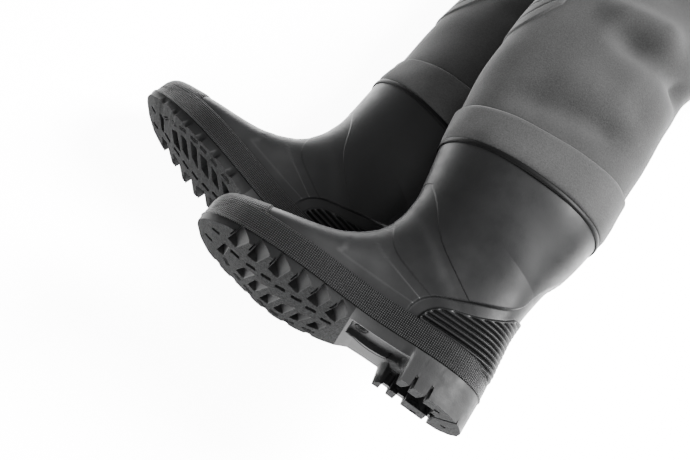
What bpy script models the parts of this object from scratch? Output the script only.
"""Chest waders lying on a flat surface: two rubber boots, neoprene legs, bib, belt and shoulder straps.

Metres, +Z up. The waders lie with the chest towards +Y and the toes towards -X. The left leg lies
across the right one. Run with: blender --background --python part.py
"""

import math

import bmesh
import bpy
import numpy as np
from mathutils import Matrix, Vector

# ---------------------------------------------------------------- driving dimensions
GAP = 0.0004                    # clearance between pieces that touch
RUBBER = 0.003                  # wall of the boot upper
NEOPRENE = 0.005                # wall of the legs and the bib
WEBBING = 0.0024                # thickness of straps and belt
STRAP_WIDTH = 0.040             # shoulder straps and belt

BOOT_LENGTH = 0.314             # toe to heel of the outsole
HEEL_BREAST = 0.229             # front of the heel block, from the toe
FOXING_TOP = 0.025              # height of the textured band above the feather line
TOE_CAP_REAR = 0.054
LUG_PITCH = 0.0236
LUG_DEPTH = 0.009
HEEL_LUG_DEPTH = 0.016

TRUNK_X = 0.335                 # centre line of the hips and the bib
CROTCH_Y = 0.860
WAIST_Y = 1.010
BIB_TOP_FRONT = 1.370
BIB_TOP_BACK = 1.290
BELT_Y = 1.050                  # middle of the waist belt
BELT_LIFT = 0.0060              # the back panel clears the surface where belt and yoke run under it

KNEE_Y = {"L": 0.446, "R": 0.500}
CENTRE = Vector((0.2320, 0.8139, 0.0))    # middle of the footprint, which becomes the origin

# boot placement: location of the toe at the feather line, then turns about X, Y and Z in degrees
BOOT_PLACE = {
    "L": (Vector((0.000, 0.000, 0.154)), (3.9, 1.7, 0.0)),
    "R": (Vector((-0.157, 0.1285, 0.0530)), (3.2, 0.0, -14.9)),
}

# upper, in the boot's own frame (x to the heel, y up the shaft), one row for each section:
# instep x, y, sole or heel x, y, outer half width, inner half width
UPPER = [
    (0.0040, 0.0170, 0.0040, 0.0070, 0.0110, 0.0100),
    (0.0060, 0.0255, 0.0060, 0.0025, 0.0185, 0.0175),
    (0.0110, 0.0315, 0.0110, 0.0010, 0.0250, 0.0240),
    (0.0220, 0.0355, 0.0220, 0.0010, 0.0325, 0.0315),
    (0.0420, 0.0400, 0.0420, 0.0010, 0.0395, 0.0395),
    (0.0680, 0.0470, 0.0700, 0.0010, 0.0435, 0.0455),
    (0.0950, 0.0555, 0.1000, 0.0010, 0.0435, 0.0470),
    (0.1200, 0.0660, 0.1320, 0.0010, 0.0410, 0.0445),
    (0.1380, 0.0820, 0.1660, 0.0010, 0.0375, 0.0400),
    (0.1490, 0.0980, 0.2050, 0.0010, 0.0355, 0.0365),
    (0.1550, 0.1120, 0.2500, 0.0010, 0.0370, 0.0365),
    (0.1575, 0.1220, 0.2900, 0.0020, 0.0390, 0.0380),
    (0.1580, 0.1290, 0.3110, 0.0140, 0.0390, 0.0380),
    (0.1585, 0.1360, 0.3120, 0.0400, 0.0400, 0.0390),
    (0.1585, 0.1430, 0.3105, 0.0680, 0.0420, 0.0410),
    (0.1575, 0.1510, 0.3120, 0.0950, 0.0450, 0.0440),
    (0.1555, 0.1640, 0.3175, 0.1240, 0.0500, 0.0490),
    (0.1525, 0.1810, 0.3255, 0.1550, 0.0555, 0.0555),
    (0.1500, 0.1970, 0.3320, 0.1830, 0.0600, 0.0600),
    (0.1480, 0.2080, 0.3360, 0.2030, 0.0620, 0.0620),
]
# outsole outline: distance from the toe, outer half width, inner half width
OUTLINE = [
    (0.0000, 0.0045, 0.0045), (0.0025, 0.0115, 0.0110), (0.0070, 0.0210, 0.0205),
    (0.0140, 0.0295, 0.0280), (0.0240, 0.0365, 0.0345), (0.0400, 0.0430, 0.0420),
    (0.0670, 0.0472, 0.0500), (0.0910, 0.0480, 0.0522), (0.1150, 0.0465, 0.0512),
    (0.1380, 0.0430, 0.0480), (0.1610, 0.0395, 0.0440), (0.1880, 0.0372, 0.0395),
    (0.2100, 0.0380, 0.0380), (0.2400, 0.0410, 0.0385), (0.2650, 0.0415, 0.0380),
    (0.2860, 0.0375, 0.0340), (0.3010, 0.0290, 0.0260), (0.3090, 0.0190, 0.0170),
    (0.3140, 0.0050, 0.0050),
]
# tread height under the feather line, from the toe to the arch
TREAD = [(0.000, -0.0070), (0.007, -0.0100), (0.020, -0.0150), (0.042, -0.0180), (0.064, -0.0205),
         (0.090, -0.0225), (0.120, -0.0235), (0.150, -0.0230), (0.175, -0.0205), (0.186, -0.0135),
         (0.227, -0.0135)]
HEEL_FRONT_DEPTH = 0.0395
HEEL_BACK_DEPTH = 0.0370

# legs: centre x, y, z, half width, half height, from the boot rim to the hip
LEG = {
    "L": [(0.2420, 0.2130, 0.1615, 0.0900, 0.0590), (0.2424, 0.2280, 0.1625, 0.0930, 0.0600),
          (0.2410, 0.2560, 0.1655, 0.0965, 0.0605),
          (0.2390, 0.3200, 0.1745, 0.1000, 0.0600), (0.2415, 0.3900, 0.1800, 0.0990, 0.0600),
          (0.2500, 0.4460, 0.1820, 0.0985, 0.0600), (0.2850, 0.5350, 0.1760, 0.1040, 0.0600),
          (0.3450, 0.6400, 0.1590, 0.1120, 0.0610), (0.4080, 0.7400, 0.1290, 0.1180, 0.0620),
          (0.4480, 0.8000, 0.1040, 0.1270, 0.0630)],
    "R": [(0.1320, 0.2720, 0.0640, 0.0900, 0.0590), (0.1361, 0.2860, 0.0648, 0.0925, 0.0600),
          (0.1420, 0.3140, 0.0645, 0.0960, 0.0605),
          (0.1470, 0.3700, 0.0610, 0.0990, 0.0600), (0.1540, 0.4400, 0.0605, 0.0985, 0.0600),
          (0.1630, 0.5000, 0.0600, 0.0990, 0.0600), (0.1720, 0.5700, 0.0600, 0.1030, 0.0600),
          (0.1830, 0.6600, 0.0610, 0.1090, 0.0610), (0.1890, 0.7450, 0.0620, 0.1170, 0.0620),
          (0.1900, 0.8000, 0.0630, 0.1260, 0.0630)],
}
CUFF_WIDTH = 0.038
CUFF_LIFT = 0.0038
LEG_MARGIN = 0.0088              # room between the right leg and the left one on top of it
# trunk: centre x, y, z, half width, half height, from the crotch to the chest
TRUNK = [(TRUNK_X, 0.860, 0.0650, 0.2850, 0.0700), (TRUNK_X, 0.920, 0.0660, 0.2880, 0.0710),
         (TRUNK_X, 1.010, 0.0650, 0.2780, 0.0690), (TRUNK_X, 1.120, 0.0640, 0.2800, 0.0670),
         (TRUNK_X, 1.240, 0.0620, 0.2840, 0.0640), (TRUNK_X, 1.370, 0.0590, 0.2800, 0.0600)]

RUBBER_BLACK = (0.030, 0.031, 0.033, 1.0)
SOLE_BLACK = (0.040, 0.041, 0.043, 1.0)
NEOPRENE_GREY = (0.115, 0.116, 0.118, 1.0)
CUFF_GREY = (0.160, 0.161, 0.163, 1.0)
PAD_BLACK = (0.020, 0.020, 0.021, 1.0)
WEB_BLACK = (0.018, 0.018, 0.019, 1.0)
PLASTIC_BLACK = (0.015, 0.015, 0.016, 1.0)
STEEL = (0.560, 0.570, 0.580, 1.0)
FOAM = (0.220, 0.220, 0.210, 1.0)


# ---------------------------------------------------------------- scene helpers
def clear_scene():
    for item in list(bpy.data.objects):
        bpy.data.objects.remove(item, do_unlink=True)


def material(name, colour, roughness, metallic=0.0):
    made = bpy.data.materials.get(name)
    if made is None:
        made = bpy.data.materials.new(name)
        made.use_nodes = True
        shader = made.node_tree.nodes["Principled BSDF"]
        shader.inputs["Base Color"].default_value = colour
        shader.inputs["Roughness"].default_value = roughness
        shader.inputs["Metallic"].default_value = metallic
    return made


def rubber():
    return material("boot_rubber", RUBBER_BLACK, 0.45)


def sole_rubber():
    return material("sole_rubber", SOLE_BLACK, 0.60)


def neoprene():
    return material("neoprene", NEOPRENE_GREY, 0.85)


def cuff_cloth():
    return material("cuff_cloth", CUFF_GREY, 0.80)


def pad_cloth():
    return material("pad_cloth", PAD_BLACK, 0.60)


def web_cloth():
    return material("web_cloth", WEB_BLACK, 0.80)


def plastic():
    return material("buckle_plastic", PLASTIC_BLACK, 0.35)


def steel():
    return material("steel", STEEL, 0.30, 1.0)


def foam():
    return material("insole_foam", FOAM, 0.90)


def empty(name, parent=None, location=(0, 0, 0), turns=(0, 0, 0)):
    made = bpy.data.objects.new(name, None)
    bpy.context.scene.collection.objects.link(made)
    made.parent = parent
    made.location = location
    made.rotation_euler = [math.radians(turn) for turn in turns]
    return made


def add_object(name, mesh, look, parent, smooth=True):
    made = bpy.data.objects.new(name, mesh)
    bpy.context.scene.collection.objects.link(made)
    made.parent = parent
    mesh.materials.append(look)
    if smooth:
        mesh.shade_smooth()
        mesh.set_sharp_from_angle(angle=math.radians(40))
    return made


def mesh_from(name, points, faces):
    mesh = bpy.data.meshes.new(name)
    mesh.from_pydata([tuple(point) for point in points], [], faces)
    shape = bmesh.new()
    shape.from_mesh(mesh)
    bmesh.ops.recalc_face_normals(shape, faces=shape.faces)
    shape.to_mesh(mesh)
    shape.free()
    return mesh


def box_mesh(name, low, high):
    """A plain block between two opposite corners."""
    shape = bmesh.new()
    bmesh.ops.create_cube(shape, size=1.0)
    low, high = Vector(low), Vector(high)
    size = high - low
    bmesh.ops.scale(shape, vec=size, verts=shape.verts)
    bmesh.ops.translate(shape, vec=(low + high) / 2, verts=shape.verts)
    mesh = bpy.data.meshes.new(name)
    shape.to_mesh(mesh)
    shape.free()
    return mesh


def guide(name, mesh, parent):
    """A cutter or a helper shape, which is not a piece of the waders."""
    made = bpy.data.objects.new(name, mesh)
    bpy.context.scene.collection.objects.link(made)
    made.parent = parent
    made.hide_render = True
    made.display_type = "WIRE"
    return made


def boolean(target, operation, other):
    step = target.modifiers.new(operation.lower(), "BOOLEAN")
    step.operation = operation
    step.solver = "EXACT"
    step.object = other


def slab(outer, inner, wrap, cap_start=False, cap_end=False):
    """Points and faces of the closed solid between two grids of the same size.

    wrap joins the last column to the first. A capped end closes each grid by itself, and any
    other end joins the two grids.
    """
    rows, columns = len(outer), len(outer[0])
    points = [point for row in outer for point in row] + [point for row in inner for point in row]
    half = rows * columns
    faces = []

    def index(layer, row, column):
        return layer * half + row * columns + column % columns

    spans = columns if wrap else columns - 1
    for row in range(rows - 1):
        for column in range(spans):
            for layer in (0, 1):
                corner = [index(layer, row, column), index(layer, row, column + 1),
                          index(layer, row + 1, column + 1), index(layer, row + 1, column)]
                faces.append(corner)
    for row, capped in ((0, cap_start), (rows - 1, cap_end)):
        if capped:
            faces.append([index(0, row, column) for column in range(columns)])
            faces.append([index(1, row, column) for column in range(columns)])
            continue
        for column in range(spans):
            faces.append([index(0, row, column), index(0, row, column + 1),
                          index(1, row, column + 1), index(1, row, column)])
    if not wrap:
        for column in (0, columns - 1):
            for row in range(rows - 1):
                faces.append([index(0, row, column), index(0, row + 1, column),
                              index(1, row + 1, column), index(1, row, column)])
    return points, faces


def solid_loft(rows):
    """Points and faces of a solid through closed rings, with flat ends."""
    columns = len(rows[0])
    points = [point for row in rows for point in row]
    faces = [list(range(columns)), [(len(rows) - 1) * columns + column for column in range(columns)]]
    for row in range(len(rows) - 1):
        for column in range(columns):
            after = (column + 1) % columns
            faces.append([row * columns + column, row * columns + after,
                          (row + 1) * columns + after, (row + 1) * columns + column])
    return points, faces


# ---------------------------------------------------------------- curves and rings
def smooth_row(rows, place):
    """A Catmull-Rom curve through rows of numbers, read at a place between 0 and len(rows) - 1."""
    table = np.asarray(rows, dtype=float)
    last = len(table) - 1
    place = min(max(place, 0.0), float(last))
    cell = min(int(place), last - 1)
    part = place - cell
    a = table[max(cell - 1, 0)]
    b = table[cell]
    c = table[cell + 1]
    d = table[min(cell + 2, last)]
    return 0.5 * (2 * b + (c - a) * part + (2 * a - 5 * b + 4 * c - d) * part ** 2
                  + (3 * b - a - 3 * c + d) * part ** 3)


def place_of(rows, column, value):
    """The place on the curve where one column has the given value."""
    low, high = 0.0, float(len(rows) - 1)
    for _ in range(40):
        middle = (low + high) / 2
        if smooth_row(rows, middle)[column] < value:
            low = middle
        else:
            high = middle
    return (low + high) / 2


def rounded(value, power):
    return math.copysign(abs(value) ** (2.0 / power), value)


def ease(value, start, end):
    """Zero before the start, one after the end, and smooth between them."""
    part = min(max((value - start) / (end - start), 0.0), 1.0)
    return part * part * (3 - 2 * part)


def base_height(y):
    """How far the underside stands off the surface: a cuff's height, nothing under the seat, belt height."""
    return CUFF_LIFT * (1 - ease(y, 0.380, 0.460)) + BELT_LIFT * ease(y, 0.955, 1.008)


class Tube:
    """A soft tube with oval rings, flattened where it rests on the surface."""

    def __init__(self, rows, power=2.25, under=None):
        self.rows = rows
        self.power = power
        self.under = under

    def place(self, y):
        return place_of(self.rows, 1, y)

    def frame(self, place):
        row = smooth_row(self.rows, place)
        before = smooth_row(self.rows, place - 0.05)
        after = smooth_row(self.rows, place + 0.05)
        along = Vector(after[:3] - before[:3]).normalized()
        side = along.cross(Vector((0, 0, 1))).normalized()
        return Vector(row[:3]), side, side.cross(along), row[3], row[4]

    def point(self, place, angle, offset=0.0):
        centre, side, up, width, height = self.frame(place)
        out = (side * (width + offset) * rounded(math.cos(angle), self.power)
               + up * (height + offset) * rounded(math.sin(angle), self.power))
        spot = centre + out
        floor = base_height(spot.y)
        if self.under is not None:
            floor = max(floor, self.under.top(spot) + LEG_MARGIN)
        spot.z = max(spot.z, floor - offset)
        return spot

    def top(self, spot):
        """Height of the tube's upper side under or over a spot, and nothing beside the tube."""
        place = self.place(spot.y)
        row = smooth_row(self.rows, place)
        across = abs(spot.x - row[0]) / (row[3] * 1.03)
        if across >= 1:
            return -1.0
        return row[2] + row[4] * (1 - across ** self.power) ** (1 / self.power)

    def ring(self, place, count, offset=0.0, start=0.0, sweep=2 * math.pi):
        closed = abs(sweep) > 2 * math.pi - 1e-6
        steps = count if closed else count - 1
        return [self.point(place, start + sweep * step / steps, offset) for step in range(count)]


RIGHT_LEG = Tube(LEG["R"])
LEGS = {"L": Tube(LEG["L"], under=RIGHT_LEG), "R": RIGHT_LEG}
BODY = Tube(TRUNK, power=2.6)


def tube_shell(tube, places, angles, inside, outside):
    outer = [[tube.point(place, angle, outside) for angle in angles] for place in places]
    inner = [[tube.point(place, angle, inside) for angle in angles] for place in places]
    return slab(outer, inner, wrap=True)


def tube_patch(tube, places, angles, inside, outside):
    outer = [[tube.point(place, angle, outside) for angle in angles] for place in places]
    inner = [[tube.point(place, angle, inside) for angle in angles] for place in places]
    return slab(outer, inner, wrap=False)


def spread(low, high, count):
    return [low + (high - low) * step / (count - 1) for step in range(count)]


# ---------------------------------------------------------------- boots
def upper_ring(row, count, grow, outward, sole_power=3.2):
    """One closed section of the boot: the instep at angle 0, the sole or heel at half a turn."""
    top = Vector((row[0], row[1], 0))
    low = Vector((row[2], row[3], 0))
    middle = (top + low) / 2
    reach = (top - low).length / 2 + grow
    along = (top - low).normalized()
    ring = []
    for step in range(count):
        angle = 2 * math.pi * step / count
        power = 2.15 if math.cos(angle) > 0 else sole_power
        half = (row[4] if math.sin(angle) > 0 else row[5]) + grow
        spot = middle + along * reach * rounded(math.cos(angle), power)
        spot.z = outward * half * rounded(math.sin(angle), power)
        ring.append(spot)
    return ring


def upper_rows(rows, count, grow, outward, nose=0.0):
    made = []
    for number, row in enumerate(rows):
        shaft = min(max((row[3] - 0.030) / 0.080, 0.0), 1.0)
        power = 3.2 + (2.2 - 3.2) * shaft
        ring = upper_ring(row, count, grow, outward, power)
        if number == 0:
            ring = [spot + Vector((nose, 0, 0)) for spot in ring]
        made.append(ring)
    return made


def make_upper(side, outward, parent, count=24):
    outer = upper_rows(UPPER, count, 0.0, outward)
    inner = upper_rows(UPPER, count, -RUBBER, outward, nose=RUBBER)
    points, faces = slab(outer, inner, wrap=True, cap_start=True)
    mesh = mesh_from("boot_" + side, points, faces)
    return add_object("boot_" + side, mesh, rubber(), parent)


def half_widths(x):
    place = place_of(OUTLINE, 0, x)
    row = smooth_row(OUTLINE, place)
    return row[1], row[2]


def tread_height(x):
    return float(np.interp(x, [row[0] for row in TREAD], [row[1] for row in TREAD]))


def make_outsole(side, outward, parent):
    """Slab with toe spring, arch and heel block, then the gaps between the side lugs."""
    stations = [row[0] for row in OUTLINE]
    stations += [0.053, 0.175, 0.186, HEEL_BREAST - 0.001, HEEL_BREAST + 0.001]
    rows = []
    for x in sorted(stations):
        outer, inner = half_widths(x)
        if x > HEEL_BREAST:
            part = (x - HEEL_BREAST) / (BOOT_LENGTH - HEEL_BREAST)
            low = -(HEEL_FRONT_DEPTH + (HEEL_BACK_DEPTH - HEEL_FRONT_DEPTH) * part)
        else:
            low = tread_height(x)
        rows.append([Vector((x, -GAP / 2, outward * outer)), Vector((x, -GAP / 2, -outward * inner)),
                     Vector((x, low, -outward * inner)), Vector((x, low, outward * outer))])
    mesh = mesh_from("outsole_" + side, *solid_loft(rows))
    sole = add_object("outsole_" + side, mesh, sole_rubber(), parent, smooth=False)
    notches = []
    for number in range(6):
        notches.append((0.044 + LUG_PITCH * number, 1, LUG_DEPTH))
        notches.append((0.026 + LUG_PITCH * number, -1, LUG_DEPTH))
    for x in (0.247, 0.271):
        notches.append((x, 1, HEEL_LUG_DEPTH))
        notches.append((x, -1, HEEL_LUG_DEPTH))
    for number, (x, which, depth) in enumerate(notches):
        outer, inner = half_widths(x)
        edge = outer if which > 0 else inner
        low = -HEEL_FRONT_DEPTH if x > HEEL_BREAST else tread_height(x)
        near = outward * which * (edge - 0.013)
        far = outward * which * (edge + 0.010)
        cut = box_mesh("notch", (x - 0.003, low - 0.010, min(near, far)),
                       (x + 0.003, low + depth, max(near, far)))
        boolean(sole, "DIFFERENCE", guide(f"notch_{side}_{number}", cut, parent))
    pocket = box_mesh("pocket", (0.149, -0.0030, -0.0085), (0.251, 0.010, 0.0085))
    boolean(sole, "DIFFERENCE", guide("shank_pocket_" + side, pocket, parent))
    strip = box_mesh("shank_" + side, (0.150, -0.0026, -0.0080), (0.250, -0.0006, 0.0080))
    add_object("shank_" + side, strip, steel(), parent, smooth=False)


def make_foxing(side, outward, parent):
    """The textured band around the foot, with the toe cap that rises out of it."""
    rows = []
    for x in [row[0] for row in OUTLINE]:
        outer, inner = half_widths(x)
        tuck = 0.0012
        rows.append([Vector((x, GAP / 2, outward * outer)), Vector((x, GAP / 2, -outward * inner)),
                     Vector((x, FOXING_TOP, -outward * (inner - tuck))),
                     Vector((x, FOXING_TOP, outward * (outer - tuck)))])
    band = add_object("foxing_" + side, mesh_from("foxing_" + side, *solid_loft(rows)), sole_rubber(),
                      parent)
    count = 24
    cap_rows = upper_rows(UPPER[:8], count, 0.0024, outward, nose=-0.0024)
    cap = guide("toe_form_" + side, mesh_from("toe_form", *solid_loft(cap_rows)), parent)
    limit = guide("toe_limit_" + side, box_mesh("toe_limit", (-0.02, 0.012, -0.1),
                                                (TOE_CAP_REAR, 0.1, 0.1)), parent)
    boolean(cap, "INTERSECT", limit)
    boolean(band, "UNION", cap)
    cutter_rows = upper_rows(UPPER, count, 2 * GAP, outward, nose=-2 * GAP)
    cutter = guide("last_" + side, mesh_from("last", *solid_loft(cutter_rows)), parent)
    boolean(band, "DIFFERENCE", cutter)
    floor_rows = []
    for row in UPPER[2:12]:
        outer, inner = 0.74 * row[4], 0.74 * row[5]
        floor_rows.append([Vector((row[2], -0.010, outward * outer)), Vector((row[2], -0.010, -outward * inner)),
                           Vector((row[2], 0.0055, -outward * inner)), Vector((row[2], 0.0055, outward * outer))])
    sole_opening = guide("sole_opening_" + side, mesh_from("sole_opening", *solid_loft(floor_rows)), parent)
    boolean(band, "DIFFERENCE", sole_opening)


def make_insole(side, outward, parent):
    rows = []
    for x in (0.024, 0.034, 0.055, 0.095, 0.140, 0.190, 0.240, 0.268, 0.282):
        outer, inner = half_widths(x)
        trim = 0.0198
        low, high = 0.0100, 0.0132
        rows.append([Vector((x, high, outward * (outer - trim))), Vector((x, high, -outward * (inner - trim))),
                     Vector((x, low, -outward * (inner - trim))), Vector((x, low, outward * (outer - trim)))])
    mesh = mesh_from("insole_" + side, *solid_loft(rows))
    add_object("insole_" + side, mesh, foam(), parent)


def make_rim(side, outward, parent, count=32):
    """The rolled edge at the top of the boot shaft."""
    last = UPPER[-1]
    profile = [(0.0004, -0.0020), (0.0004, 0.0016), (0.0022, 0.0026), (0.0044, 0.0016), (0.0044, -0.0020)]
    rows = []
    for lift, grow in profile:
        row = (last[0], last[1] + lift, last[2], last[3] + lift, last[4], last[5])
        rows.append(upper_ring(row, count, grow, outward, 2.2))
    points = [spot for row in rows for spot in row]
    faces = []
    for number in range(len(rows)):
        after = (number + 1) % len(rows)
        for column in range(count):
            beside = (column + 1) % count
            faces.append([number * count + column, number * count + beside,
                          after * count + beside, after * count + column])
    add_object("rim_" + side, mesh_from("rim_" + side, points, faces), rubber(), parent)


def make_boot(side, frame):
    location, turns = BOOT_PLACE[side]
    foot = empty("foot_" + side, frame, location, turns)
    outward = 1 if side == "L" else -1
    make_upper(side, outward, foot)
    make_outsole(side, outward, foot)
    make_foxing(side, outward, foot)
    make_insole(side, outward, foot)
    make_rim(side, outward, foot)


# ---------------------------------------------------------------- legs and trunk
CROTCH_OUTER = 21       # ring points over the outside of a thigh
CROTCH_INNER = 11       # ring points along the crotch, between the front and the back
PAD_REACH = 0.085       # length of each half of a knee pad


def leg_angles(side):
    """Ring angles of a leg, from the front of the crotch round the outside and back."""
    corner = math.radians(122)
    outside = spread(corner, -corner, CROTCH_OUTER)
    inside = spread(-corner, corner - 2 * math.pi, CROTCH_INNER + 2)[1:-1]
    angles = outside + inside
    if side == "R":
        angles = [math.pi - angle for angle in angles]
    return angles


def pad_angles(side):
    """The leg's ring angles over the front of the knee, which faces -X."""
    turned = [angle % (2 * math.pi) for angle in leg_angles(side)]
    return sorted(angle for angle in turned if abs(angle - math.pi) < 0.92)


def knee_places(side, way):
    """Places of the rings under half of a knee pad, from its far end to the knee line."""
    tube = LEGS[side]
    steps = [PAD_REACH, PAD_REACH / 2, 0.0006]
    return [tube.place(KNEE_Y[side] + way * step) for step in steps]


def make_knee_pad(name, side, way, frame):
    tube = LEGS[side]
    places = knee_places(side, way)[:2] + [tube.place(KNEE_Y[side] + way * 0.0010)]
    points, faces = tube_patch(tube, places, pad_angles(side), GAP, 0.0034)
    add_object(name + side, mesh_from(name + side, points, faces), pad_cloth(), frame)


def make_lower_leg(side, frame):
    tube = LEGS[side]
    first = LEG[side][0][1] + 0.0060
    start, top = place_of(LEG[side], 1, first), tube.place(first + CUFF_WIDTH)
    places = [start, (start + top) / 2, top, (top + tube.place(KNEE_Y[side] - PAD_REACH)) / 2]
    angles = leg_angles(side)
    points, faces = tube_shell(tube, places + knee_places(side, -1), angles, -NEOPRENE, 0.0)
    add_object("lower_leg_" + side, mesh_from("lower_leg_" + side, points, faces), neoprene(), frame)
    points, faces = tube_shell(tube, places[:3], angles, GAP, 0.0030)
    add_object("cuff_" + side, mesh_from("cuff_" + side, points, faces), cuff_cloth(), frame)
    make_knee_pad("knee_pad_lower_", side, -1, frame)
    make_knee_pad("knee_pad_upper_", side, 1, frame)


def crotch_ring(side, offset):
    """The ring where a thigh meets the trunk: half of the trunk's ring and the crotch line."""
    sign = 1 if side == "L" else -1
    quarter = math.pi / 2
    if sign > 0:
        angles = spread(quarter, -quarter, CROTCH_OUTER)
    else:
        angles = spread(quarter, 3 * quarter, CROTCH_OUTER)
    ring = [BODY.point(0.0, angle, offset) for angle in angles]
    front, back = ring[0], ring[-1]
    for step in range(1, CROTCH_INNER + 1):
        part = step / (CROTCH_INNER + 1)
        spot = back.lerp(front, part)
        spot.y = CROTCH_Y - 0.012 * math.sin(math.pi * part) - offset * 1.6
        ring.append(spot)
    return ring


def trunk_layer(offset):
    """Points of one skin of the trousers: both thighs, the crotch and the hips, with their faces."""
    points, faces = [], []
    shared = {}

    def add(spot):
        key = tuple(round(value, 7) for value in spot)
        if key not in shared:
            shared[key] = len(points)
            points.append(spot)
        return shared[key]

    ends = []
    for side in "LR":
        tube = LEGS[side]
        angles = leg_angles(side)
        places = knee_places(side, 1)[::-1]
        places += spread(places[-1], len(LEG[side]) - 1.0, 4)[1:]
        rings = [[add(tube.point(place, angle, offset)) for angle in angles] for place in places]
        rings.append([add(spot) for spot in crotch_ring(side, offset)])
        for row in range(len(rings) - 1):
            for column in range(len(angles)):
                beside = (column + 1) % len(angles)
                corners = [rings[row][column], rings[row][beside],
                           rings[row + 1][beside], rings[row + 1][column]]
                faces.append(corners)
        ends.append(rings[0])
    count = 2 * (CROTCH_OUTER - 1)
    places = spread(0.0, BODY.place(WAIST_Y - 0.0003), 4)
    start_angle = math.pi / 2
    rings = []
    for place in places:
        ring = BODY.ring(place, count, offset, start_angle, -2 * math.pi)
        rings.append([add(spot) for spot in ring])
    for row in range(len(rings) - 1):
        for column in range(count):
            beside = (column + 1) % count
            faces.append([rings[row][column], rings[row][beside],
                          rings[row + 1][beside], rings[row + 1][column]])
    ends.append(rings[-1])
    return points, faces, ends


def make_trousers(frame):
    outer_points, outer_faces, outer_ends = trunk_layer(0.0)
    inner_points, inner_faces, inner_ends = trunk_layer(-NEOPRENE)
    shift = len(outer_points)
    points = outer_points + inner_points
    faces = outer_faces + [[corner + shift for corner in face] for face in inner_faces]
    for outer, inner in zip(outer_ends, inner_ends):
        for column in range(len(outer)):
            beside = (column + 1) % len(outer)
            faces.append([outer[column], outer[beside], inner[beside] + shift, inner[column] + shift])
    add_object("trousers", mesh_from("trousers", points, faces), neoprene(), frame)


def bib_top(angle):
    middle = (BIB_TOP_FRONT + BIB_TOP_BACK) / 2
    return middle + (BIB_TOP_FRONT - BIB_TOP_BACK) / 2 * rounded(math.sin(angle), 2.6)


def bib_grid(low, high, rows, angles, offset):
    """Points of the bib between two heights, each height given as a function of the angle."""
    grid = []
    for row in range(rows):
        part = row / (rows - 1)
        line = []
        for angle in angles:
            y = low(angle) + (high(angle) - low(angle)) * part
            line.append(BODY.point(BODY.place(y), angle, offset))
        grid.append(line)
    return grid


BIB_ANGLES = [2 * math.pi * step / 44 for step in range(44)]


def make_bib(frame):
    angles = BIB_ANGLES
    outer = bib_grid(lambda a: WAIST_Y + 0.0003, bib_top, 5, angles, 0.0)
    inner = bib_grid(lambda a: WAIST_Y + 0.0003, bib_top, 5, angles, -NEOPRENE)
    mesh = mesh_from("bib", *slab(outer, inner, wrap=True))
    add_object("bib", mesh, neoprene(), frame)
    band = (lambda a: bib_top(a) - 0.018)
    outer = bib_grid(band, lambda a: bib_top(a) - 0.0006, 2, angles, 0.0026)
    inner = bib_grid(band, lambda a: bib_top(a) - 0.0006, 2, angles, GAP)
    add_object("top_binding", mesh_from("top_binding", *slab(outer, inner, wrap=True)), web_cloth(), frame)


def body_patch(name, x_range, y_range, steps, inside, outside, look, frame, crown=0.0, mouth=False):
    """A piece on the front of the trunk; a crown leaves room under it, open at a mouth towards +Y."""
    columns, rows = steps
    outer, inner = [], []
    for y in spread(*y_range, rows):
        place = BODY.place(y)
        upper_line, lower_line = [], []
        for x in spread(*x_range, columns):
            across = (x - sum(x_range) / 2) / (x_range[1] - x_range[0]) * 2
            along = (y - sum(y_range) / 2) / (y_range[1] - y_range[0]) * 2
            ends = 1 - along ** 4 if along < 0 or not mouth else 1.0
            swell = crown * (1 - across ** 4) * ends
            ground = front_height(x, place)
            lower_line.append(Vector((x, y, ground + inside + swell)))
            upper_line.append(Vector((x, y, ground + outside + swell)))
        outer.append(upper_line)
        inner.append(lower_line)
    mesh = mesh_from(name, *slab(outer, inner, wrap=False))
    return add_object(name, mesh, look, frame)


def front_height(x, place):
    """Height of the trunk's front panel at x."""
    centre, _, _, width, height = BODY.frame(place)
    across = min(abs(x - centre.x) / width, 1.0)
    return centre.z + height * (1 - across ** BODY.power) ** (1 / BODY.power)


def make_gusset(frame):
    """Reinforcing patch under the crotch, on the front of the seat."""
    body_patch("seat_patch", (TRUNK_X - 0.070, TRUNK_X + 0.070), (0.890, 0.985), (5, 4),
               GAP, 0.0022, pad_cloth(), frame)


# ---------------------------------------------------------------- belt, pockets and zip
BELT_GAP = 0.0008
BELT_BUCKLE_REACH = (-0.0410, 0.0218)       # ends of the belt, either side of its buckle


def belt_angle(reach):
    """Ring angle from the middle of the front to a distance across it."""
    return math.asin((reach / TRUNK[2][3]) ** (BODY.power / 2))


def make_belt(frame):
    low, high = BODY.place(BELT_Y - STRAP_WIDTH / 2), BODY.place(BELT_Y + STRAP_WIDTH / 2)
    front = math.pi / 2
    angles = [front + belt_angle(-BELT_BUCKLE_REACH[0])]
    angles += [front + step * 2 * math.pi / 44 for step in range(1, 44)]
    angles += [front + 2 * math.pi - belt_angle(BELT_BUCKLE_REACH[1])]
    points, faces = tube_patch(BODY, [low, high], angles, BELT_GAP, BELT_GAP + WEBBING)
    add_object("belt", mesh_from("belt", points, faces), web_cloth(), frame)
    for number, angle in enumerate((0.62, 1.02, math.pi - 1.02, math.pi - 0.62)):
        angles = spread(angle - 0.035, angle + 0.035, 2)
        places = [BODY.place(BELT_Y + shift) for shift in (-0.031, -0.021, 0.021, 0.031)]
        over = BELT_GAP + GAP + WEBBING + 0.0014
        lifts = [GAP + 0.0014, over, over, GAP + 0.0014]
        thick = 0.0014
        outer = [[BODY.point(place, a, lift) for a in angles] for place, lift in zip(places, lifts)]
        inner = [[BODY.point(place, a, lift - thick) for a in angles]
                 for place, lift in zip(places, lifts)]
        name = f"belt_loop_{number + 1}"
        add_object(name, mesh_from(name, *slab(outer, inner, wrap=False)), web_cloth(), frame, False)


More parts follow.
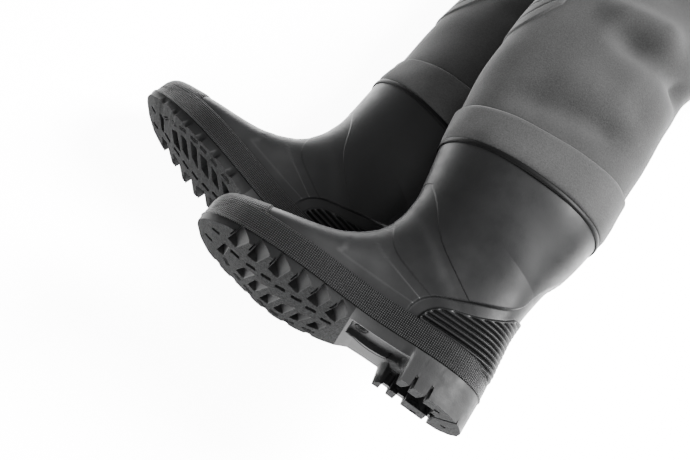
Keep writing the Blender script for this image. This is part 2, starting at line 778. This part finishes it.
POCKET_X = (TRUNK_X - 0.115, TRUNK_X + 0.115)
POCKET_Y = (1.110, 1.268)
ZIP_Y = (1.270, 1.284)
ZIP_TRAVEL = 0.180


def make_chest_pocket(frame):
    body_patch("chest_pocket", POCKET_X, POCKET_Y, (9, 7), 0.0008, 0.0038, neoprene(), frame, 0.012)
    place = BODY.place(sum(ZIP_Y) / 2)
    top = front_height(TRUNK_X, place) + 0.0040
    outer, inner = [], []
    for y in ZIP_Y:
        xs = spread(POCKET_X[0], POCKET_X[1], 9)
        outer.append([Vector((x, y, top)) for x in xs])
        inner.append([Vector((x, y, front_height(x, BODY.place(y)) + GAP)) for x in xs])
    add_object("zip_tape", mesh_from("zip_tape", *slab(outer, inner, wrap=False)), web_cloth(), frame, False)
    make_zip_pull(frame, Vector((POCKET_X[0] + 0.020, sum(ZIP_Y) / 2, top)))


def make_zip_pull(frame, spot):
    """Slider with its bail, and the puller on the bail; each has its origin on its joint."""
    rise = GAP
    body = box_mesh("zip_slider", (-0.006, -0.0045, rise), (0.006, 0.0045, rise + 0.0032))
    slider = add_object("zip_slider", body, steel(), frame, smooth=False)
    slider.location = spot
    post = guide("bail_post", box_mesh("post", (-0.0042, -0.0035, rise + 0.0025),
                                       (0.0042, 0.0035, rise + 0.0079)), slider)
    boolean(slider, "UNION", post)
    window = guide("bail_window", box_mesh("window", (-0.0022, -0.0060, rise + 0.0031),
                                           (0.0022, 0.0060, rise + 0.0061)), slider)
    boolean(slider, "DIFFERENCE", window)
    height = rise + 0.0046
    puller = add_object("zip_puller", puller_mesh(), steel(), frame, smooth=False)
    puller.location = spot + Vector((0, 0, height))


def puller_mesh():
    """Flat tab with a window at one end; its end bar lies in the slider's bail along Y."""
    shape = bmesh.new()
    outline = [(0.0010, -0.0058), (0.0010, 0.0058), (-0.0200, 0.0042), (-0.0230, 0.0), (-0.0200, -0.0042)]
    hole = [(-0.0010, -0.0042), (-0.0010, 0.0042), (-0.0070, 0.0042), (-0.0070, -0.0042)]
    half = 0.0008
    layers = []
    for z in (-half, half):
        outer = [shape.verts.new((x, y, z)) for x, y in outline]
        inner = [shape.verts.new((x, y, z)) for x, y in hole]
        layers.append((outer, inner))
    for outer, inner in layers:
        a, b, c, d, e = outer
        p, q, r, s = inner
        for corners in ((a, b, q, p), (b, c, r, q), (c, d, r), (d, s, r), (d, e, s), (e, a, p, s)):
            shape.faces.new(corners)
    for which in (0, 1):
        low, high = layers[0][which], layers[1][which]
        for number in range(len(low)):
            after = (number + 1) % len(low)
            shape.faces.new((low[number], low[after], high[after], high[number]))
    bmesh.ops.recalc_face_normals(shape, faces=shape.faces)
    mesh = bpy.data.meshes.new("zip_puller")
    shape.to_mesh(mesh)
    shape.free()
    return mesh


CARGO_X = (TRUNK_X - 0.236, TRUNK_X - 0.140)
CARGO_Y = (1.120, 1.232)
FLAP_HINGE_Y = 1.250
SIDE_POCKET_DEPTH = 0.0120
FLAP_LIFT = 0.0166
FLAP_THICKNESS = 0.0024


def make_cargo_pocket(frame):
    body_patch("side_pocket", CARGO_X, CARGO_Y, (6, 5), 0.0008, 0.0034, neoprene(), frame, SIDE_POCKET_DEPTH, True)
    place = BODY.place(FLAP_HINGE_Y)
    ends = [front_height(x, place) for x in CARGO_X]
    hinge_z = sum(ends) / 2 + FLAP_LIFT + 0.0054
    margin = 0.004
    outer, inner = [], []
    for y in (1.196, 1.222, FLAP_HINGE_Y - 0.001):
        xs = spread(CARGO_X[0] - margin, CARGO_X[1] + margin, 6)
        base = [front_height(x, BODY.place(y)) + FLAP_LIFT for x in xs]
        inner.append([Vector((x, y, z)) for x, z in zip(xs, base)])
        outer.append([Vector((x, y, z + FLAP_THICKNESS)) for x, z in zip(xs, base)])
    flap = add_object("pocket_flap", mesh_from("pocket_flap", *slab(outer, inner, wrap=False)),
                      pad_cloth(), frame)
    shift_origin(flap, Vector((sum(CARGO_X) / 2, FLAP_HINGE_Y, hinge_z)))
    body_patch("flap_tape", (CARGO_X[0] - margin, CARGO_X[1] + margin),
               (FLAP_HINGE_Y - 0.0004, FLAP_HINGE_Y + 0.010), (6, 2), GAP, FLAP_LIFT + FLAP_THICKNESS,
               web_cloth(), frame)


def shift_origin(item, spot):
    """Puts an object's origin at a spot in its parent's frame and leaves its shape in place."""
    item.data.transform(Matrix.Translation(-spot))
    item.location = spot


# ---------------------------------------------------------------- buckles and straps
BUCKLE_WIDTH = 0.050
BUCKLE_LENGTH = 0.040
BUCKLE_HEIGHT = 0.011
PRONG_PIVOT = 0.0030            # distance of the prongs' roots behind the mouth of the socket


def make_buckle(prefix, frame, spot, turn):
    """Side-release buckle. Its own +Y runs from the socket to the plug; +Z is up."""
    holder = empty(prefix + "_frame", frame, spot, (0, 0, turn))
    half = BUCKLE_WIDTH / 2
    socket = add_object(prefix + "_socket", box_mesh("socket", (-half, -BUCKLE_LENGTH, 0.0),
                                                     (half, 0.0, BUCKLE_HEIGHT)),
                        plastic(), holder, smooth=False)
    cuts = [((-half + 0.0025, -0.0290, 0.0020), (half - 0.0025, 0.010, BUCKLE_HEIGHT - 0.0020)),
            ((-half - 0.010, -0.0280, 0.0015), (half + 0.010, -0.0088, BUCKLE_HEIGHT - 0.0015)),
            ((-0.0205, -0.0370, -0.010), (0.0205, -0.0325, 0.020))]
    for number, (low, high) in enumerate(cuts):
        boolean(socket, "DIFFERENCE", guide(f"{prefix}_cut_{number}", box_mesh("cut", low, high), holder))
    plug = add_object(prefix + "_plug", box_mesh("plug", (-half + 0.001, GAP, 0.0005),
                                                 (half - 0.001, 0.021, BUCKLE_HEIGHT - 0.0005)),
                      plastic(), holder, smooth=False)
    tongue = guide(prefix + "_tongue", box_mesh("tongue", (-0.0030, -0.0240, 0.0030),
                                                (0.0030, 0.005, BUCKLE_HEIGHT - 0.0030)), holder)
    boolean(plug, "UNION", tongue)
    slot = guide(prefix + "_slot", box_mesh("slot", (-0.0205, 0.0130, -0.010),
                                            (0.0205, 0.0175, 0.020)), holder)
    boolean(plug, "DIFFERENCE", slot)
    recess = guide(prefix + "_recess", box_mesh("recess", (-0.0190, -0.010, 0.0020),
                                                (0.0190, PRONG_PIVOT + 0.0036, BUCKLE_HEIGHT - 0.0020)),
                   holder)
    boolean(plug, "DIFFERENCE", recess)
    keep = guide(prefix + "_rib", box_mesh("rib", (-0.0030, -0.0240, 0.0030),
                                           (0.0030, 0.008, BUCKLE_HEIGHT - 0.0030)), holder)
    boolean(plug, "UNION", keep)
    for label, sign in (("a", -1), ("b", 1)):
        outline = [(0.0110, 0.0022), (0.0165, 0.0022), (0.0170, -0.0125), (0.0243, -0.0128),
                   (0.0243, -0.0180), (0.0165, -0.0262), (0.0125, -0.0262), (0.0130, -0.0140)]
        outline = [(x * sign, y + PRONG_PIVOT) for x, y in outline]
        rows = [[Vector((x, y, z)) for x, y in outline] for z in (0.0030, BUCKLE_HEIGHT - 0.0030)]
        prong = add_object(f"{prefix}_prong_{label}", mesh_from("prong", *solid_loft(rows)), plastic(),
                           holder, smooth=False)
        shift_origin(prong, Vector((0.0138 * sign, PRONG_PIVOT, BUCKLE_HEIGHT / 2)))


def ribbon(name, route, width, thickness, look, frame):
    """A flat strap along a route; its width stays level."""
    outer, inner = [], []
    count = len(route)
    for number, spot in enumerate(route):
        before = Vector(route[max(number - 1, 0)])
        after = Vector(route[min(number + 1, count - 1)])
        along = (after - before).normalized()
        level = Vector((along.x, along.y, 0))
        across = STRAP_SIDE.copy()
        if level.length > 0.3:
            across = level.normalized().cross(Vector((0, 0, 1)))
            if across.dot(STRAP_SIDE) < 0:
                across = -across
        normal = across.cross(along).normalized()
        spot = Vector(spot)
        outer.append([spot + across * width / 2 + normal * thickness / 2,
                      spot - across * width / 2 + normal * thickness / 2])
        inner.append([spot + across * width / 2 - normal * thickness / 2,
                      spot - across * width / 2 - normal * thickness / 2])
    return add_object(name, mesh_from(name, *slab(outer, inner, wrap=False)), look, frame)


STRAP_SIDE = Vector((1, 0, 0))
BUCKLE_X = 0.150
BUCKLE_Y = 1.392
STRAP_SLOPE = math.radians(9.0)
ADJUSTER_TRAVEL = 0.045


def strap_route(sign, height):
    """From the plug over the chest edge, down to the surface, round and back to the yoke."""
    start = BUCKLE_Y + 0.0220
    run = 0.100
    fall = math.tan(STRAP_SLOPE)
    corner = (start + run, height - run * fall)
    knots = [(BUCKLE_X, start, height), (BUCKLE_X, start + run / 2, height - run * fall / 2),
             (BUCKLE_X, corner[0], corner[1]),
             (BUCKLE_X, corner[0] + 0.016, corner[1] - 0.016 * fall), (0.149, 1.565, 0.060), (0.147, 1.590, 0.028),
             (0.145, 1.622, 0.0150), (0.143, 1.650, 0.0135), (0.142, 1.664, 0.0080),
             (0.141, 1.650, 0.0024), (0.136, 1.600, 0.0018), (0.120, 1.530, 0.0018),
             (0.090, 1.430, 0.0018), (0.056, 1.3475, 0.0018)]
    spots = []
    for step in range(37):
        x, y, z = smooth_row(knots, (len(knots) - 1) * step / 36)
        spots.append(Vector((TRUNK_X + sign * x, y, max(z, WEBBING / 2 + 0.0003))))
    return spots


def make_shoulder_strap(side, frame):
    sign = 1 if side == "L" else -1
    x = TRUNK_X + sign * BUCKLE_X
    ground = front_height(x - sign * BUCKLE_WIDTH / 2, BODY.place(BIB_TOP_FRONT - 0.020)) + 0.0034
    make_buckle("buckle_" + side, frame, (x, BUCKLE_Y, ground), 0)
    body_patch("anchor_tab_" + side, (x - STRAP_WIDTH / 2, x + STRAP_WIDTH / 2),
               (1.296, 1.3462), (3, 2), 0.0008, 0.0030, web_cloth(), frame)
    height = ground + BUCKLE_HEIGHT / 2
    route = strap_route(sign, height)
    ribbon("strap_" + side, route, STRAP_WIDTH, WEBBING, web_cloth(), frame)
    make_adjuster(side, frame, Vector((x, BUCKLE_Y + 0.0420, height - 0.020 * math.tan(STRAP_SLOPE))))


def make_adjuster(side, frame, spot):
    """Sliding loop on the strap."""
    half = STRAP_WIDTH / 2
    name = "adjuster_" + side
    ring = add_object(name, box_mesh(name, (-half - 0.004, -0.012, -0.0042),
                                     (half + 0.004, 0.012, 0.0048)), plastic(), frame, smooth=False)
    hole = guide(name + "_hole", box_mesh("hole", (-half - 0.0010, -0.05, -0.0022),
                                          (half + 0.0010, 0.05, 0.0022)), ring)
    boolean(ring, "DIFFERENCE", hole)
    for number, low in enumerate((-0.0085, 0.0030)):
        window = guide(f"{name}_window_{number}",
                       box_mesh("window", (-half + 0.002, low, 0.0010), (half - 0.002, low + 0.0055, 0.02)),
                       ring)
        boolean(ring, "DIFFERENCE", window)
    ring.location = spot
    ring.rotation_euler = (-STRAP_SLOPE, 0, 0)


def make_yoke(frame):
    """Back pad that both shoulder straps are sewn to, under the top of the back panel."""
    low, high = 0.0003, 0.0027
    outline = [(-0.045, 1.235), (0.045, 1.235), (0.078, 1.300), (0.078, 1.337), (-0.078, 1.337),
               (-0.078, 1.300)]
    rows = [[Vector((TRUNK_X + x, y, z)) for x, y in outline] for z in (low, high)]
    mesh = mesh_from("back_yoke", *solid_loft(rows))
    add_object("back_yoke", mesh, pad_cloth(), frame, smooth=False)


def make_tool_ring(frame):
    """D-ring on a webbing tab, high on the wearer's left side of the bib."""
    x, y = TRUNK_X + 0.085, 1.318
    ground = front_height(x, BODY.place(y))
    tab = add_object("ring_tab", box_mesh("ring_tab", (x - 0.009, y - 0.008, ground + 0.0006),
                                          (x + 0.009, y + 0.010, ground + 0.0066)),
                     web_cloth(), frame, smooth=False)
    bore = bpy.data.meshes.new("bore")
    shape = bmesh.new()
    turn = Matrix.Rotation(math.pi / 2, 4, "Y")
    bmesh.ops.create_cone(shape, cap_ends=True, segments=12, radius1=0.0021, radius2=0.0021,
                          depth=0.05, matrix=turn)
    shape.to_mesh(bore)
    shape.free()
    cutter = guide("ring_bore", bore, frame)
    pivot = Vector((x, y - 0.003, ground + 0.0036))
    cutter.location = pivot
    boolean(tab, "DIFFERENCE", cutter)
    wire = bpy.data.curves.new("tool_ring", "CURVE")
    wire.dimensions = "3D"
    wire.bevel_depth = 0.0015
    wire.bevel_resolution = 1
    spots = [(-0.0125, 0.0), (0.0125, 0.0)]
    for step in range(9):
        angle = math.pi * step / 8
        spots.append((0.0135 * math.cos(angle), -0.0050 - 0.0135 * math.sin(angle)))
    line = wire.splines.new("POLY")
    line.points.add(len(spots) - 1)
    for point, (across, down) in zip(line.points, spots):
        point.co = (across, down, 0, 1)
    line.use_cyclic_u = True
    wire.materials.append(steel())
    ring = bpy.data.objects.new("tool_ring", wire)
    bpy.context.scene.collection.objects.link(ring)
    ring.parent = frame
    ring.location = pivot


# ---------------------------------------------------------------- assembly
def main():
    clear_scene()
    frame = empty("waders_frame", None, -CENTRE)
    for side in "LR":
        make_boot(side, frame)
        make_lower_leg(side, frame)
    make_trousers(frame)
    make_bib(frame)
    make_gusset(frame)
    make_belt(frame)
    make_chest_pocket(frame)
    make_cargo_pocket(frame)
    for side in "LR":
        make_shoulder_strap(side, frame)
    buckle_height = front_height(TRUNK_X, BODY.place(BELT_Y)) + 0.0012
    make_buckle("belt_buckle", frame, (TRUNK_X, BELT_Y, buckle_height), -90)
    make_yoke(frame)
    make_tool_ring(frame)


main()
